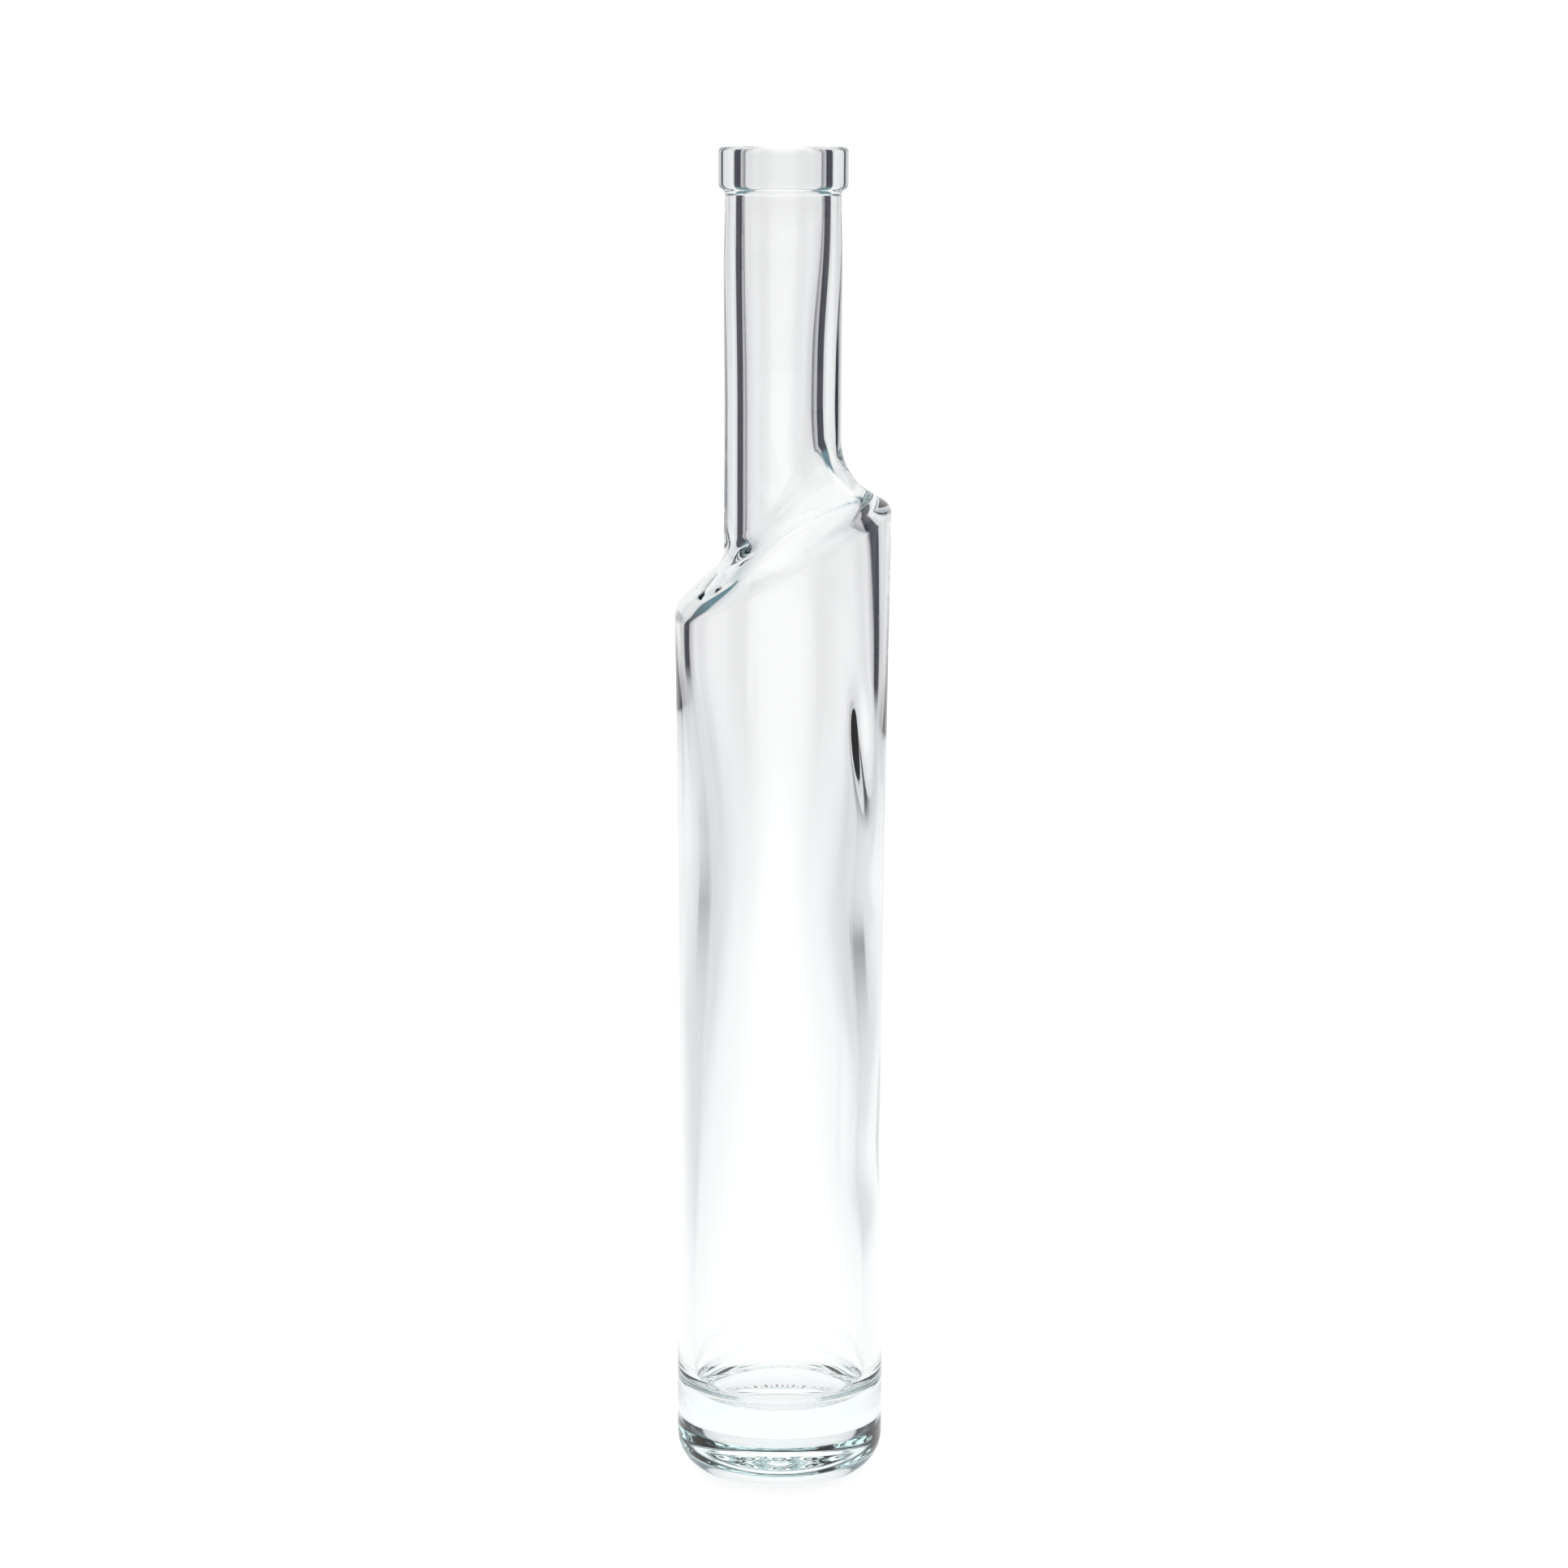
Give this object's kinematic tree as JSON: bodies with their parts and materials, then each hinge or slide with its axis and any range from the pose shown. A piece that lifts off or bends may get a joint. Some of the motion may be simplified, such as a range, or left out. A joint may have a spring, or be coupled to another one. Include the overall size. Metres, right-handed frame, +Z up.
{
  "type": "glass bottle",
  "caption": "Slim clear glass spirit bottle with a thick solid base, a slanted shoulder, a long straight neck and an open mouth with a square band.",
  "frame": {"origin": "centre of the base, in the plane that the bottle stands on", "axes": "+Z up along the bottle's axis, +X towards the high side of the slanted shoulder"},
  "size_m": [0.052, 0.052, 0.325],
  "materials": {
    "clear_glass": "gloss"
  },
  "bodies": {
    "root": {"bottle": "clear_glass"}
  },
  "joints": []
}
